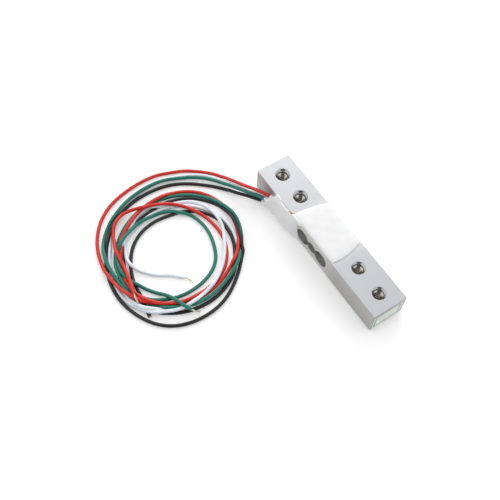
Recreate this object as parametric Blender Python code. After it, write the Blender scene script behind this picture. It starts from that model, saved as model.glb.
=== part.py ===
"""Miniature single-point load cell: an aluminium bending beam with its gauges, sealant and four leads.

The beam lies along X with its fixed end, where the leads leave, at -X. It stands on the floor, Z = 0,
on the coat that seals the gauges of its underside. The leads leave at -Y.
"""
import math

import bmesh
import bpy
import numpy as np
from mathutils import Vector

MM = 0.001

# Flexure beam
BEAM_LENGTH = 64.0 * MM
BEAM_WIDTH = 12.7 * MM
BEAM_HEIGHT = 9.5 * MM
BEAM_EDGE = 0.15 * MM
HOLE_DRILL = 3.3 * MM
HOLE_END_DISTANCE = 5.8 * MM
HOLE_SPACING = 10.4 * MM
FIXED_SINK = 5.1 * MM
LIVE_SINK = 4.6 * MM
OUTER_FLEXURE_BORE = 6.0 * MM
MIDDLE_FLEXURE_BORE = 4.2 * MM
FLEXURE_SPACING = 4.9 * MM
CUT_OVERRUN = 1.0 * MM
HOLE_SEGMENTS = 32
FLEXURE_SEGMENTS = 48

# Gaps between pieces that are glued or cast on each other
GLUE_GAP = 0.05 * MM
COAT_GAP = 0.1 * MM
POCKET_GAP = 0.1 * MM

# Foil gauges and what joins them
GAUGE_LENGTH = 6.4 * MM
GAUGE_WIDTH = 4.2 * MM
GAUGE_FILM = 0.08 * MM
GAUGE_FOIL = 0.04 * MM
FOIL_STRANDS = 8
FOIL_WIDTH = 0.22 * MM
FOIL_MARGIN = 0.6 * MM
BOARD_LENGTH = 5.6 * MM
BOARD_HEIGHT = 5.2 * MM
BOARD_THICKNESS = 0.4 * MM
BOARD_CENTRE_X = -16.2 * MM
PAD_RADIUS = 0.7 * MM
PAD_THICKNESS = 0.05 * MM
PAD_PITCH = 2.4 * MM
SOLDER_RADIUS = 0.55 * MM
SOLDER_HEIGHT = 0.4 * MM
JUMPER_RADIUS = 0.11 * MM
JUMPER_STANDOFF = 0.2 * MM
JUMPER_PITCH = 0.9 * MM
JUMPER_POINT_SPACING = 0.45 * MM
JUMPER_EDGE_DROP = 0.6 * MM
# A jumper's way round the edge: how far along the beam at four points, and how far in from the edge at two
JUMPER_ALONG = (0.9 * MM, 1.5 * MM, 2.1 * MM, 3.2 * MM)
JUMPER_INWARD = (0.2 * MM, 0.7 * MM)
JUMPER_TAB_RUN = (0.6 * MM, 0.4 * MM)

# Silicone coats over the gauges
TOP_COAT = 0.9 * MM
BOTTOM_COAT = 0.5 * MM
COAT_RIM = 0.12 * MM
COAT_INSET = 0.1 * MM
COAT_FAR_X = (-11.3 * MM, -10.7 * MM, -8.9 * MM)
COAT_NEAR_X = (10.2 * MM, 10.4 * MM, 8.8 * MM)
COAT_STATIONS_ALONG = 26
COAT_STATIONS_ACROSS = 18

# Silicone strip that holds the leads against the beam's side
STRIP_LEAD_BULGE = 3.2 * MM
STRIP_BULGE = 2.3 * MM
STRIP_RIM = 0.2 * MM
STRIP_MARGIN = 0.15 * MM
STRIP_LEAD_END_X = (-26.5 * MM, -21.5 * MM)
STRIP_FLEXURE_END_X = (-6.0 * MM, -8.7 * MM, -9.6 * MM)
STRIP_STATIONS_ALONG = 28
STRIP_STATIONS_UP = 18

# Label on the free end
LABEL_WIDTH = 9.4 * MM
LABEL_HEIGHT = 5.6 * MM
LABEL_THICKNESS = 0.08 * MM
LABEL_CORNER = 0.4 * MM

# Leads: their size and, in millimetres, the points of the stretch between the strip and the coil
LEAD_DIAMETER = 1.2 * MM
CONDUCTOR_DIAMETER = 0.5 * MM
CONDUCTOR_LENGTH = 3.0 * MM
LEAD_POINT_SPACING = 2.7 * MM
LEAD_ROUTES = {
    "red": [
        (-24.1, -7.3, 6.3), (-25.9, -8.1, 6.2), (-27.6, -8.9, 5.9), (-29.4, -9.7, 5.5), (-31.1, -10.5, 5.0),
        (-32.9, -11.2, 4.4), (-34.7, -11.9, 3.8), (-36.5, -12.5, 3.2), (-38.3, -13.2, 2.6),
        (-40.1, -13.9, 2.0), (-41.8, -14.8, 1.5), (-43.5, -15.7, 1.1), (-45.2, -16.9, 0.8),
        (-46.6, -18.2, 0.6), (-48.0, -19.7, 0.6), (-49.2, -21.3, 0.6), (-50.4, -22.9, 0.6),
        (-51.2, -24.2, 0.6),
    ],
    "white": [
        (-25.3, -7.7, 3.9), (-26.7, -8.5, 3.8), (-28.4, -9.4, 3.6), (-30.1, -10.4, 3.3),
        (-31.9, -11.3, 2.9), (-33.7, -12.2, 2.6), (-35.4, -13.0, 2.2), (-37.2, -13.8, 1.9),
        (-39.0, -14.7, 1.5), (-40.7, -15.6, 1.1), (-42.4, -16.7, 0.9), (-44.0, -17.9, 0.8),
        (-45.5, -19.2, 0.7), (-46.7, -20.6, 0.6),
    ],
    "green": [
        (-25.1, -8.8, 4.7), (-26.2, -9.3, 4.5), (-27.8, -10.2, 4.3), (-29.5, -11.2, 4.0),
        (-31.3, -12.1, 3.7), (-33.0, -13.0, 3.4), (-34.8, -13.9, 3.0), (-36.5, -14.7, 2.6),
        (-38.2, -15.7, 2.2), (-39.9, -16.7, 1.9), (-41.6, -17.8, 1.7), (-43.1, -19.1, 1.6),
        (-44.2, -20.1, 1.5),
    ],
    "black": [
        (-26.0, -9.2, 2.5), (-27.2, -10.0, 2.4), (-28.8, -11.0, 2.2), (-30.5, -12.1, 2.0),
        (-32.1, -13.2, 1.7), (-33.8, -14.3, 1.4), (-35.4, -15.4, 1.1), (-37.0, -16.6, 0.8),
        (-38.5, -17.9, 0.7),
    ],
}
WHITE_TAIL_ROUTE = [
    (-29.0, -57.9, 0.6), (-26.9, -57.6, 0.6), (-25.2, -57.0, 0.6), (-23.5, -55.9, 0.6), (-21.9, -54.6, 0.6),
    (-20.5, -52.9, 0.6), (-19.2, -51.1, 0.6), (-17.9, -49.3, 0.6), (-16.6, -47.6, 0.6), (-15.2, -46.2, 0.6),
]

# Coil that the leads are wound into: an oval ring about its centre, with a round opening
COIL_CENTRE = (-28.0 * MM, -43.5 * MM)
COIL_LONG_RADIUS = 29.8 * MM
COIL_SHORT_RADIUS = 24.2 * MM
COIL_TURN_DEG = -25.0
OPENING_RADIUS = 14.7 * MM
OPENING_SHIFT = (3.8 * MM, -1.4 * MM)
COIL_HEIGHT = 3.6 * MM
COIL_STATIONS = 60
COIL_SECTION_POINTS = 9

# Bare conductor ends: heading of each in degrees, and where three of them lie on the coil, as the angle round
# its centre and the share of the way from the opening to the outside. The white one follows its tail.
CONDUCTOR_HEADING_DEG = {"red": -2.0, "green": 37.0, "black": 40.0, "white": 36.0}
CONDUCTOR_ON_COIL = {"red": (-62.0, 0.39), "green": (-14.1, 0.58), "black": (-45.2, 0.63)}
CONDUCTOR_LIFT = 0.6 * MM
TAIL_GAP = 0.25 * MM

BEAM_BOTTOM = BOTTOM_COAT + COAT_GAP
BEAM_TOP = BEAM_BOTTOM + BEAM_HEIGHT
BEAM_MIDDLE = BEAM_BOTTOM + BEAM_HEIGHT / 2
SIDE_FACE = -BEAM_WIDTH / 2
FREE_END = BEAM_LENGTH / 2
OUTWARD = {"top": 1.0, "bottom": -1.0}


def clear_scene():
    for item in list(bpy.data.objects):
        bpy.data.objects.remove(item, do_unlink=True)


def make_material(name, colour, roughness, metallic=0.0):
    finish = bpy.data.materials.new(name)
    finish.use_nodes = True
    shader = finish.node_tree.nodes["Principled BSDF"]
    shader.inputs["Base Color"].default_value = (*colour, 1.0)
    shader.inputs["Roughness"].default_value = roughness
    shader.inputs["Metallic"].default_value = metallic
    finish.diffuse_color = (*colour, 1.0)
    return finish


def add_object(name, body, finish=None, smooth_deg=None):
    """Turns a bmesh into a named object with outward faces."""
    bmesh.ops.recalc_face_normals(body, faces=body.faces)
    mesh = bpy.data.meshes.new(name)
    body.to_mesh(mesh)
    body.free()
    if smooth_deg is not None:
        mesh.shade_smooth()
        mesh.set_sharp_from_angle(angle=math.radians(smooth_deg))
    item = bpy.data.objects.new(name, mesh)
    bpy.context.scene.collection.objects.link(item)
    if finish is not None:
        mesh.materials.append(finish)
    return item


def combine(target, tool, operation="DIFFERENCE"):
    """Cuts one solid with another, or joins it on, and keeps the tool as a guide only."""
    step = target.modifiers.new(tool.name, "BOOLEAN")
    step.operation = operation
    step.solver = "EXACT"
    step.object = tool
    tool.hide_render = True
    tool.display_type = "WIRE"


def box_body(size, centre):
    body = bmesh.new()
    bmesh.ops.create_cube(body, size=1.0)
    bmesh.ops.scale(body, vec=Vector(size), verts=body.verts)
    bmesh.ops.translate(body, vec=Vector(centre), verts=body.verts)
    return body


def turned_body(profile, segments):
    """Closed solid of revolution about Z from (radius, height) points that start and end on the axis."""
    body = bmesh.new()
    rings = []
    for radius, height in profile:
        if radius == 0.0:
            rings.append([body.verts.new((0.0, 0.0, height))])
            continue
        turns = [math.tau * i / segments for i in range(segments)]
        rings.append([body.verts.new((radius * math.cos(a), radius * math.sin(a), height)) for a in turns])
    for low, high in zip(rings, rings[1:]):
        for i in range(segments):
            j = (i + 1) % segments
            if len(low) == 1:
                body.faces.new((low[0], high[j], high[i]))
            elif len(high) == 1:
                body.faces.new((low[i], low[j], high[0]))
            else:
                body.faces.new((low[i], low[j], high[j], high[i]))
    return body


def extruded_body(outline, low, high):
    """Flat-ended solid over a closed outline of (x, y) points, from height low to height high."""
    body = bmesh.new()
    base = [body.verts.new((x, y, low)) for x, y in outline]
    face = body.faces.new(base)
    grown = bmesh.ops.extrude_face_region(body, geom=[face])
    lifted = [item for item in grown["geom"] if isinstance(item, bmesh.types.BMVert)]
    bmesh.ops.translate(body, vec=(0.0, 0.0, high - low), verts=lifted)
    return body


def swept_body(points, radius, sides):
    """Round bar along a line of points, with flat ends."""
    body = bmesh.new()
    line = [Vector(p) for p in points]
    normal = None
    rings = []
    for i, point in enumerate(line):
        heading = (line[min(i + 1, len(line) - 1)] - line[max(i - 1, 0)]).normalized()
        if normal is None:
            normal = heading.orthogonal().normalized()
        normal = (normal - heading * normal.dot(heading)).normalized()
        side = heading.cross(normal)
        turns = [math.tau * k / sides for k in range(sides)]
        ring = [point + radius * (math.cos(a) * normal + math.sin(a) * side) for a in turns]
        rings.append([body.verts.new(spot) for spot in ring])
    for back, front in zip(rings, rings[1:]):
        for k in range(sides):
            n = (k + 1) % sides
            body.faces.new((back[k], back[n], front[n], front[k]))
    body.faces.new(list(reversed(rings[0])))
    body.faces.new(rings[-1])
    return body


def smooth_line(points, spacing):
    """Evenly spaced points along a smooth curve through the given ones."""
    knots = np.array(points, dtype=float)
    chord = np.linalg.norm(np.diff(knots, axis=0), axis=1)
    at = np.concatenate(([0.0], np.cumsum(chord)))
    slope = np.gradient(knots, at, axis=0)
    fine = []
    for i, span in enumerate(chord):
        for t in np.linspace(0.0, 1.0, 16, endpoint=False):
            a = (1 + 2 * t) * (1 - t) ** 2
            b = t * (1 - t) ** 2
            c = t * t * (3 - 2 * t)
            d = t * t * (t - 1)
            fine.append(a * knots[i] + b * span * slope[i] + c * knots[i + 1] + d * span * slope[i + 1])
    fine = np.array(fine + [knots[-1]])
    run = np.concatenate(([0.0], np.cumsum(np.linalg.norm(np.diff(fine, axis=0), axis=1))))
    count = max(2, round(run[-1] / spacing) + 1)
    even = np.linspace(0.0, run[-1], count)
    return np.stack([np.interp(even, run, fine[:, k]) for k in range(3)], axis=1)


def cast_body(across, along, place, thickness):
    """Cast silicone: a sheet of points on its flat back and, over each, one on its swollen face.

    place(u, v) gives a point of the back, thickness(u, v) the vector from it to the face, for u and v
    from 0 to 1.
    """
    body = bmesh.new()
    back = []
    face = []
    for i in range(across + 1):
        spots = [(i / across, j / along) for j in range(along + 1)]
        back.append([body.verts.new(place(u, v)) for u, v in spots])
        face.append([body.verts.new(place(u, v) + thickness(u, v)) for u, v in spots])
    for i in range(across):
        for j in range(along):
            corners = ((i, j), (i + 1, j), (i + 1, j + 1), (i, j + 1))
            body.faces.new([face[a][b] for a, b in corners])
            body.faces.new([back[a][b] for a, b in reversed(corners)])
    edge = [(i, 0) for i in range(across)]
    edge += [(across, j) for j in range(along)]
    edge += [(i, along) for i in range(across, 0, -1)]
    edge += [(0, j) for j in range(along, 0, -1)]
    for (a, b), (c, d) in zip(edge, edge[1:] + edge[:1]):
        body.faces.new((back[a][b], back[c][d], face[c][d], face[a][b]))
    return body


def eased(t):
    """Share from 0 to 1 along 0 to 1, crowded towards both ends."""
    return 0.5 - 0.5 * math.cos(math.pi * t)


def swell(t, flatness):
    """Height of a rounded hump over 0 to 1: 0 at both ends and 1 in the middle."""
    return math.sqrt(max(0.0, 1.0 - abs(2.0 * t - 1.0) ** flatness))


def curve_through(values, t):
    """Parabola over -1 to 1 through values at -1, 0 and 1."""
    first, middle, last = values
    return middle + (last - first) / 2 * t + ((first + last) / 2 - middle) * t * t


# Aluminium bar with tapped holes down through its ends and the flexure bores across its middle
def tapped_hole_tool(name, x, sink):
    drill = HOLE_DRILL / 2
    mouth = sink / 2
    slope = mouth - drill
    profile = [
        (0.0, BEAM_BOTTOM - CUT_OVERRUN),
        (mouth + CUT_OVERRUN, BEAM_BOTTOM - CUT_OVERRUN),
        (drill, BEAM_BOTTOM + slope),
        (drill, BEAM_TOP - slope),
        (mouth + CUT_OVERRUN, BEAM_TOP + CUT_OVERRUN),
        (0.0, BEAM_TOP + CUT_OVERRUN),
    ]
    tool = add_object(name, turned_body(profile, HOLE_SEGMENTS))
    tool.location.x = x
    return tool


def flexure_bore_tool(name, x, bore):
    reach = BEAM_WIDTH / 2 + CUT_OVERRUN
    profile = [(0.0, -reach), (bore / 2, -reach), (bore / 2, reach), (0.0, reach)]
    tool = add_object(name, turned_body(profile, FLEXURE_SEGMENTS))
    tool.rotation_euler.x = math.pi / 2
    tool.location = (x, 0.0, BEAM_MIDDLE)
    return tool


def make_beam():
    body = box_body((BEAM_LENGTH, BEAM_WIDTH, BEAM_HEIGHT), (0.0, 0.0, BEAM_MIDDLE))
    bmesh.ops.bevel(body, geom=body.edges[:], offset=BEAM_EDGE, segments=1, affect="EDGES")
    beam = add_object("flexure_beam", body, make_material("aluminium", (0.72, 0.72, 0.71), 0.42, 1.0), 30)
    outer = FREE_END - HOLE_END_DISTANCE
    for end, sink in ((-1, FIXED_SINK), (1, LIVE_SINK)):
        for place, x in (("outer", outer), ("inner", outer - HOLE_SPACING)):
            side = "fixed" if end < 0 else "live"
            combine(beam, tapped_hole_tool("%s_%s_hole_tool" % (side, place), end * x, sink))
    bores = ((-1, OUTER_FLEXURE_BORE), (0, MIDDLE_FLEXURE_BORE), (1, OUTER_FLEXURE_BORE))
    for step, bore in bores:
        combine(beam, flexure_bore_tool("flexure_bore_tool_%d" % (step + 2), step * FLEXURE_SPACING, bore))
    return beam


# Foil gauges: a polyimide film with a raised meander of foil, glued over each thin section
def foil_outline():
    """Outline of the meander, from the two sides of its centre line."""
    length = GAUGE_LENGTH - 2 * FOIL_MARGIN
    width = GAUGE_WIDTH - 2 * FOIL_MARGIN
    pitch = width / (FOIL_STRANDS - 1)
    line = []
    for strand in range(FOIL_STRANDS):
        y = -width / 2 + strand * pitch
        ends = (-length / 2, length / 2)
        line += [(x, y) for x in (ends if strand % 2 == 0 else reversed(ends))]
    left = []
    right = []
    for i, (x, y) in enumerate(line):
        shift = Vector((0.0, 0.0))
        for a, b in ((i - 1, i), (i, i + 1)):
            if a < 0 or b >= len(line):
                continue
            run = (Vector(line[b]) - Vector(line[a])).normalized()
            shift += Vector((-run.y, run.x)) * FOIL_WIDTH / 2
        left.append((x + shift.x, y + shift.y))
        right.append((x - shift.x, y - shift.y))
    return left + right[::-1]


def make_gauge(name, x, face, finish):
    out = OUTWARD[face]
    seat = BEAM_TOP if out > 0 else BEAM_BOTTOM
    film = box_body((GAUGE_LENGTH, GAUGE_WIDTH, GAUGE_FILM), (0.0, 0.0, GLUE_GAP + GAUGE_FILM / 2))
    gauge = add_object(name, film, finish)
    foil_base = GLUE_GAP + GAUGE_FILM / 2
    foil_top = GLUE_GAP + GAUGE_FILM + GAUGE_FOIL
    foil = add_object(name + "_foil_guide", extruded_body(foil_outline(), foil_base, foil_top))
    combine(gauge, foil, "UNION")
    for item in (gauge, foil):
        item.location = (x, 0.0, seat)
        item.rotation_euler.x = 0.0 if out > 0 else math.pi
    return gauge


# Terminal board glued to the beam's side, with four pads and the solder on them
def pad_places():
    for row in (1, -1):
        for column in (-1, 1):
            yield BOARD_CENTRE_X + column * PAD_PITCH / 2, BEAM_MIDDLE + row * PAD_PITCH / 2


def disc_on_side(name, profile, x, z, depth, segments, finish=None):
    """Turned piece that stands out of the side face, its base at the given depth from it."""
    item = add_object(name, turned_body(profile, segments), finish, 40)
    item.rotation_euler.x = math.pi / 2
    item.location = (x, SIDE_FACE - depth, z)
    return item


def make_terminal_board():
    centre = (BOARD_CENTRE_X, SIDE_FACE - GLUE_GAP - BOARD_THICKNESS / 2, BEAM_MIDDLE)
    body = box_body((BOARD_LENGTH, BOARD_THICKNESS, BOARD_HEIGHT), centre)
    board = add_object("terminal_board", body, make_material("laminate", (0.10, 0.32, 0.18), 0.5))
    half = BOARD_THICKNESS / 2
    pad = [(0.0, 0.0), (PAD_RADIUS, 0.0), (PAD_RADIUS, half + PAD_THICKNESS), (0.0, half + PAD_THICKNESS)]
    for number, (x, z) in enumerate(pad_places(), 1):
        combine(board, disc_on_side("pad_guide_%d" % number, pad, x, z, GLUE_GAP + half, 20), "UNION")
    return board


def make_solder_joints():
    finish = make_material("solder", (0.70, 0.71, 0.73), 0.3, 1.0)
    arc = [math.radians(15 * i) for i in range(7)]
    profile = [(0.0, 0.0)]
    profile += [(SOLDER_RADIUS * math.cos(a), SOLDER_HEIGHT * (0.15 + 0.85 * math.sin(a))) for a in arc[:-1]]
    profile += [(0.0, SOLDER_HEIGHT)]
    depth = GLUE_GAP + BOARD_THICKNESS + PAD_THICKNESS + GLUE_GAP
    for number, (x, z) in enumerate(pad_places(), 1):
        disc_on_side("solder_joint_%d" % number, profile, x, z, depth, 20, finish)


# Enamelled jumpers from the board round the beam's edge to the gauges of both faces
def jumper_route(face, number):
    """Points of one jumper, led along the top face and mirrored for the underside."""
    shift = number * JUMPER_PITCH
    off = JUMPER_STANDOFF
    start_x = BOARD_CENTRE_X + BOARD_LENGTH / 2 - JUMPER_PITCH + shift
    tab_x = -FLEXURE_SPACING - GAUGE_LENGTH / 2 - off - JUMPER_RADIUS
    tab_y = -JUMPER_PITCH / 2 - shift
    half = BEAM_HEIGHT / 2
    corner = off * math.sqrt(0.5)
    points = [
        (start_x, SIDE_FACE - off, BOARD_HEIGHT / 2 + off + JUMPER_RADIUS),
        (start_x + JUMPER_ALONG[0], SIDE_FACE - off, half - JUMPER_EDGE_DROP),
        (start_x + JUMPER_ALONG[1], SIDE_FACE - corner, half + corner),
        (start_x + JUMPER_ALONG[2], SIDE_FACE + JUMPER_INWARD[0], half + off),
        (start_x + JUMPER_ALONG[3], SIDE_FACE + JUMPER_INWARD[1], half + off),
        (tab_x - JUMPER_TAB_RUN[0], tab_y - JUMPER_TAB_RUN[1], half + off),
        (tab_x, tab_y, half + off),
    ]
    out = OUTWARD[face]
    return smooth_line([(x, y, BEAM_MIDDLE + out * z) for x, y, z in points], JUMPER_POINT_SPACING)


def make_jumpers():
    finish = make_material("enamelled_copper", (0.55, 0.16, 0.08), 0.3, 0.6)
    tools = []
    for face in OUTWARD:
        for number in (0, 1):
            route = jumper_route(face, number)
            name = "%s_jumper_%d" % (face, number + 1)
            add_object(name, swept_body(route, JUMPER_RADIUS, 8), finish, 50)
            first, second, before, last = route[0], route[1], route[-2], route[-1]
            ends = (first + (first - second) / 2, last + (last - before) / 2)
            channel = swept_body([ends[0], *route[1:-1], ends[1]], JUMPER_RADIUS + POCKET_GAP, 8)
            tools.append((face, add_object(name + "_channel_tool", channel)))
    return tools


# Silicone over the gauges, spread across the beam between two curved edges
def make_coat(face, coat_thickness, finish, channels):
    out = OUTWARD[face]
    seat = BEAM_TOP + COAT_GAP if out > 0 else BEAM_BOTTOM - COAT_GAP
    half_width = BEAM_WIDTH / 2 - BEAM_EDGE - COAT_INSET

    def place(u, v):
        t = 2 * eased(v) - 1
        low = curve_through(COAT_FAR_X, t)
        high = curve_through(COAT_NEAR_X, t)
        return Vector((low + (high - low) * eased(u), half_width * t, seat))

    def thickness(u, v):
        hump = swell(eased(u), 8) * swell(eased(v), 8)
        return Vector((0.0, 0.0, out * (COAT_RIM + (coat_thickness - COAT_RIM) * hump)))

    body = cast_body(COAT_STATIONS_ALONG, COAT_STATIONS_ACROSS, place, thickness)
    coat = add_object(face + "_sealant", body, finish, 50)
    pocket_depth = GLUE_GAP + GAUGE_FILM + GAUGE_FOIL + POCKET_GAP
    size = (GAUGE_LENGTH + 2 * POCKET_GAP, GAUGE_WIDTH + 2 * POCKET_GAP, 2 * pocket_depth)
    for step in (-1, 1):
        base = BEAM_TOP if out > 0 else BEAM_BOTTOM
        pocket = box_body(size, (step * FLEXURE_SPACING, 0.0, base))
        combine(coat, add_object("%s_gauge_pocket_tool_%d" % (face, step + 2), pocket))
    for channel_face, tool in channels:
        if channel_face == face:
            combine(coat, tool)
    return coat


# Silicone strip down the side: slanted where the leads leave it, feathered out towards the flexure
def make_strip(finish, channels):
    low_z = BEAM_BOTTOM + STRIP_MARGIN
    high_z = BEAM_TOP - STRIP_MARGIN
    back = SIDE_FACE - COAT_GAP

    def place(u, v):
        t = eased(v)
        first = STRIP_LEAD_END_X[0] + (STRIP_LEAD_END_X[1] - STRIP_LEAD_END_X[0]) * t
        last = curve_through(STRIP_FLEXURE_END_X, 2 * t - 1)
        return Vector((first + (last - first) * eased(u), back, low_z + (high_z - low_z) * t))

    def thickness(u, v):
        run = eased(u)
        bulge = STRIP_BULGE + (STRIP_LEAD_BULGE - STRIP_BULGE) * (1.0 - run) ** 4
        blunt_end = min(1.0, 0.8 + 4.0 * run)
        feathered_end = (1.0 - run ** 3) * swell(0.5 + 0.5 * run, 10)
        lean = 1.0 - 0.5 * eased(v)
        depth = STRIP_RIM + bulge * blunt_end * feathered_end * swell(eased(v), 3) * lean
        return Vector((0.0, -depth, 0.0))

    body = cast_body(STRIP_STATIONS_ALONG, STRIP_STATIONS_UP, place, thickness)
    strip = add_object("side_sealant", body, finish, 50)
    pocket_depth = GLUE_GAP + BOARD_THICKNESS + PAD_THICKNESS + GLUE_GAP + SOLDER_HEIGHT + POCKET_GAP
    size = (BOARD_LENGTH + 2 * POCKET_GAP, 2 * pocket_depth, BOARD_HEIGHT + 2 * POCKET_GAP)
    pocket = box_body(size, (BOARD_CENTRE_X, SIDE_FACE, BEAM_MIDDLE))
    combine(strip, add_object("board_pocket_tool", pocket))
    for _, tool in channels:
        combine(strip, tool)
    return strip


# Blank label stuck to the free end's face
def make_label():
    body = box_body((LABEL_THICKNESS, LABEL_WIDTH, LABEL_HEIGHT), (0.0, 0.0, 0.0))
    corners = []
    for edge in body.edges:
        if abs(edge.verts[0].co.x - edge.verts[1].co.x) > LABEL_THICKNESS / 2:
            corners.append(edge)
    bmesh.ops.bevel(body, geom=corners, offset=LABEL_CORNER, segments=4, affect="EDGES")
    label = add_object("end_label", body, make_material("label_film", (0.80, 0.84, 0.80), 0.45))
    label.location = (FREE_END + GLUE_GAP + LABEL_THICKNESS / 2, 0.0, BEAM_MIDDLE)
    return label


# Leads: the stretches outside the coil, the coil's outer shape and the bare ends
def make_lead(name, route, finish):
    points = smooth_line([[value * MM for value in point] for point in route], LEAD_POINT_SPACING)
    curve = bpy.data.curves.new(name, "CURVE")
    curve.dimensions = "3D"
    curve.bevel_depth = LEAD_DIAMETER / 2
    curve.bevel_resolution = 2
    curve.use_fill_caps = True
    curve.materials.append(finish)
    spline = curve.splines.new("POLY")
    spline.points.add(len(points) - 1)
    for spot, point in zip(spline.points, points):
        spot.co = (*point, 1.0)
    item = bpy.data.objects.new(name, curve)
    bpy.context.scene.collection.objects.link(item)
    return item


def outer_reach(angle):
    """Distance from the coil's centre to the outside of the ring."""
    turn = angle - math.radians(COIL_TURN_DEG)
    across = COIL_SHORT_RADIUS * math.cos(turn)
    along = COIL_LONG_RADIUS * math.sin(turn)
    return COIL_LONG_RADIUS * COIL_SHORT_RADIUS / math.hypot(across, along)


def inner_reach(angle):
    """Distance from the coil's centre to the edge of the opening, which lies to one side of it."""
    heading = Vector((math.cos(angle), math.sin(angle)))
    shift = Vector(OPENING_SHIFT)
    ahead = heading.dot(shift)
    return ahead + math.sqrt(OPENING_RADIUS ** 2 - shift.length_squared + ahead ** 2)


def make_wire_coil(finish):
    body = bmesh.new()
    rings = []
    for station in range(COIL_STATIONS):
        angle = math.tau * station / COIL_STATIONS
        heading = Vector((math.cos(angle), math.sin(angle), 0.0))
        near = inner_reach(angle)
        far = outer_reach(angle)
        ring = []
        for k in range(COIL_SECTION_POINTS):
            t = eased(k / (COIL_SECTION_POINTS - 1))
            height = COIL_HEIGHT * swell(t, 4)
            spot = Vector((*COIL_CENTRE, 0.0)) + heading * (near + (far - near) * t)
            ring.append(body.verts.new((spot.x, spot.y, height)))
        rings.append(ring)
    for ring, after in zip(rings, rings[1:] + rings[:1]):
        for k in range(COIL_SECTION_POINTS):
            n = (k + 1) % COIL_SECTION_POINTS
            body.faces.new((ring[k], ring[n], after[n], after[k]))
    return add_object("wire_coil", body, finish, 50)


def conductor_place(colour):
    """Where a bare end starts: on top of the coil, or just past the white tail."""
    if colour not in CONDUCTOR_ON_COIL:
        before, last = (Vector(point) * MM for point in WHITE_TAIL_ROUTE[-2:])
        return last + (last - before).normalized() * TAIL_GAP
    angle_deg, share = CONDUCTOR_ON_COIL[colour]
    angle = math.radians(angle_deg)
    near = inner_reach(angle)
    reach = near + (outer_reach(angle) - near) * share
    centre = Vector((*COIL_CENTRE, COIL_HEIGHT + CONDUCTOR_LIFT))
    return centre + Vector((math.cos(angle), math.sin(angle), 0.0)) * reach


def make_conductor(colour, finish):
    radius = CONDUCTOR_DIAMETER / 2
    tip = radius / 2
    profile = [
        (0.0, 0.0),
        (radius, 0.0),
        (radius, CONDUCTOR_LENGTH - tip),
        (radius - tip, CONDUCTOR_LENGTH),
        (0.0, CONDUCTOR_LENGTH),
    ]
    item = add_object(colour + "_conductor", turned_body(profile, 12), finish, 50)
    item.rotation_euler = (0.0, math.pi / 2, math.radians(CONDUCTOR_HEADING_DEG[colour]))
    item.location = conductor_place(colour)
    return item


def make_leads():
    insulation = {
        "red": make_material("red_insulation", (0.62, 0.03, 0.02), 0.35),
        "white": make_material("white_insulation", (0.80, 0.82, 0.88), 0.35),
        "green": make_material("green_insulation", (0.01, 0.22, 0.13), 0.35),
        "black": make_material("black_insulation", (0.02, 0.02, 0.025), 0.35),
    }
    for colour, route in LEAD_ROUTES.items():
        make_lead(colour + "_lead", route, insulation[colour])
    make_lead("white_tail", WHITE_TAIL_ROUTE, insulation["white"])
    make_wire_coil(insulation["red"])
    tinned = make_material("tinned_copper", (0.75, 0.68, 0.55), 0.3, 1.0)
    for colour in CONDUCTOR_HEADING_DEG:
        make_conductor(colour, tinned)


clear_scene()
make_beam()
polyimide = make_material("polyimide", (0.62, 0.36, 0.10), 0.35)
for gauge_face in OUTWARD:
    make_gauge(gauge_face + "_gauge_fixed", -FLEXURE_SPACING, gauge_face, polyimide)
    make_gauge(gauge_face + "_gauge_live", FLEXURE_SPACING, gauge_face, polyimide)
make_terminal_board()
make_solder_joints()
jumper_channels = make_jumpers()
silicone = make_material("silicone", (0.88, 0.88, 0.87), 0.4)
make_coat("top", TOP_COAT, silicone, jumper_channels)
make_coat("bottom", BOTTOM_COAT, silicone, jumper_channels)
make_strip(silicone, jumper_channels)
make_label()
make_leads()
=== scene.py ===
"""Looks of the miniature load cell: the beam, what is stuck and cast on it, and its four coiled leads."""
import math

import bmesh
import bpy
import numpy as np
from mathutils import Matrix, Vector


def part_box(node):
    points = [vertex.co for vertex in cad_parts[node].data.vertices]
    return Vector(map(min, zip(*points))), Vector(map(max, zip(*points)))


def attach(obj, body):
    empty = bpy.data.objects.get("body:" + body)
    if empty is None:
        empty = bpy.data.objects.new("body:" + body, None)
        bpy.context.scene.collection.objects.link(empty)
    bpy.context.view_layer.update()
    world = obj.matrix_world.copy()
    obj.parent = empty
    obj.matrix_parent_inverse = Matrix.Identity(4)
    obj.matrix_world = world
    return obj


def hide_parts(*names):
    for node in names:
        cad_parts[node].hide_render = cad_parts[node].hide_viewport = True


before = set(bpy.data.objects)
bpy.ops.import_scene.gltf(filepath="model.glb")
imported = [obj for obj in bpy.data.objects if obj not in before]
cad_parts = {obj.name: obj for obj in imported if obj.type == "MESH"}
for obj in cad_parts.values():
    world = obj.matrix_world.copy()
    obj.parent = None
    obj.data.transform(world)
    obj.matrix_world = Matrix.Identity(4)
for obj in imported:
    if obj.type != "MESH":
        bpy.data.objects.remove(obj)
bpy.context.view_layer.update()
MM = 0.001


# Flexure beam: a square bar of aluminium alloy, sawn to length and milled. Three overlapping bores across its
# middle leave the thin sections that bend, and four countersunk M4 holes are tapped down through its ends.
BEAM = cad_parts["flexure_beam"]
BEAM_LOW, BEAM_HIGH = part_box("flexure_beam")
HOLE_X = (-26.2 * MM, -15.8 * MM, 15.8 * MM, 26.2 * MM)
HOLE_SPACING = 10.4 * MM
DRILL_RADIUS = 1.65 * MM
SINK_RADIUS = 2.4 * MM
# The painted shade on the hole walls and the turned countersinks end in this width
BORE_SHADE_EDGE = 0.08 * MM
SINK_EDGE = 0.1 * MM
FLEXURE_REACH = 7.0 * MM
FLEXURE_FADE = 5.0 * MM
THREAD_PITCH = 0.7 * MM
THREAD_DEPTH = 0.3 * MM
THREAD_FOOT = 0.05 * MM
THREAD_SET_IN = 0.7 * MM
THREAD_STEPS = 40


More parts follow.
